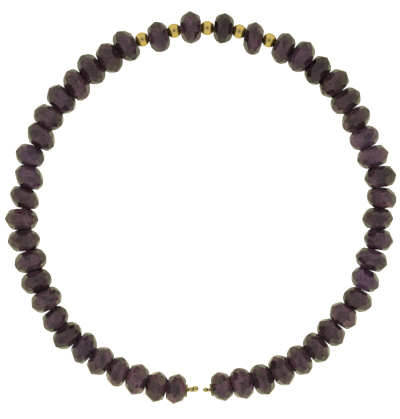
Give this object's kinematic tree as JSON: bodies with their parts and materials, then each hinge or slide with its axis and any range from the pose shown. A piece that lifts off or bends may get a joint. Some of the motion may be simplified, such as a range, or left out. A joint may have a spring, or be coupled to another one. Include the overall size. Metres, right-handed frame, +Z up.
{
  "type": "sapphire bead bracelet",
  "caption": "Open bangle of faceted dark sapphire beads on a springy gold wire, with small gold balls between the beads at the middle and a gold ball on each end.",
  "frame": {"origin": "middle of the bracelet's box, on the surface that it lies on", "axes": "+Z up, along the wrist's axis; +Y from the open ends towards the gold balls; +X to the right seen from above with the gold balls at the top"},
  "size_m": [0.0674, 0.0678, 0.0056],
  "materials": {
    "sapphire": "polished facets, dark plum",
    "gold": "polished yellow gold"
  },
  "bodies": {
    "root": {"core_wire": "gold", "end_washer_left": "gold", "end_washer_right": "gold", "gold_ball_1": "gold", "gold_ball_2": "gold", "gold_ball_3": "gold", "gold_ball_4": "gold", "gold_ball_5": "gold", "sapphires_left_end": "sapphire", "sapphires_right_end": "sapphire", "sapphire_06": "sapphire", "sapphire_07": "sapphire", "sapphire_08": "sapphire", "sapphire_09": "sapphire", "sapphire_10": "sapphire", "sapphire_11": "sapphire", "sapphire_12": "sapphire", "sapphire_13": "sapphire", "sapphire_14": "sapphire", "sapphire_15": "sapphire", "sapphire_16": "sapphire", "sapphire_17": "sapphire", "sapphire_18": "sapphire", "sapphire_19": "sapphire", "sapphire_20": "sapphire", "sapphire_21": "sapphire", "sapphire_22": "sapphire", "sapphire_23": "sapphire", "sapphire_25": "sapphire", "sapphire_27": "sapphire", "sapphire_29": "sapphire", "sapphire_31": "sapphire", "sapphire_33": "sapphire", "sapphire_34": "sapphire", "sapphire_35": "sapphire", "sapphire_36": "sapphire", "sapphire_37": "sapphire", "sapphire_38": "sapphire", "sapphire_39": "sapphire", "sapphire_40": "sapphire", "sapphire_41": "sapphire", "sapphire_42": "sapphire", "sapphire_43": "sapphire", "sapphire_44": "sapphire", "sapphire_45": "sapphire", "sapphire_46": "sapphire", "sapphire_47": "sapphire", "sapphire_48": "sapphire", "sapphire_49": "sapphire", "sapphire_50": "sapphire"}
  },
  "joints": []
}
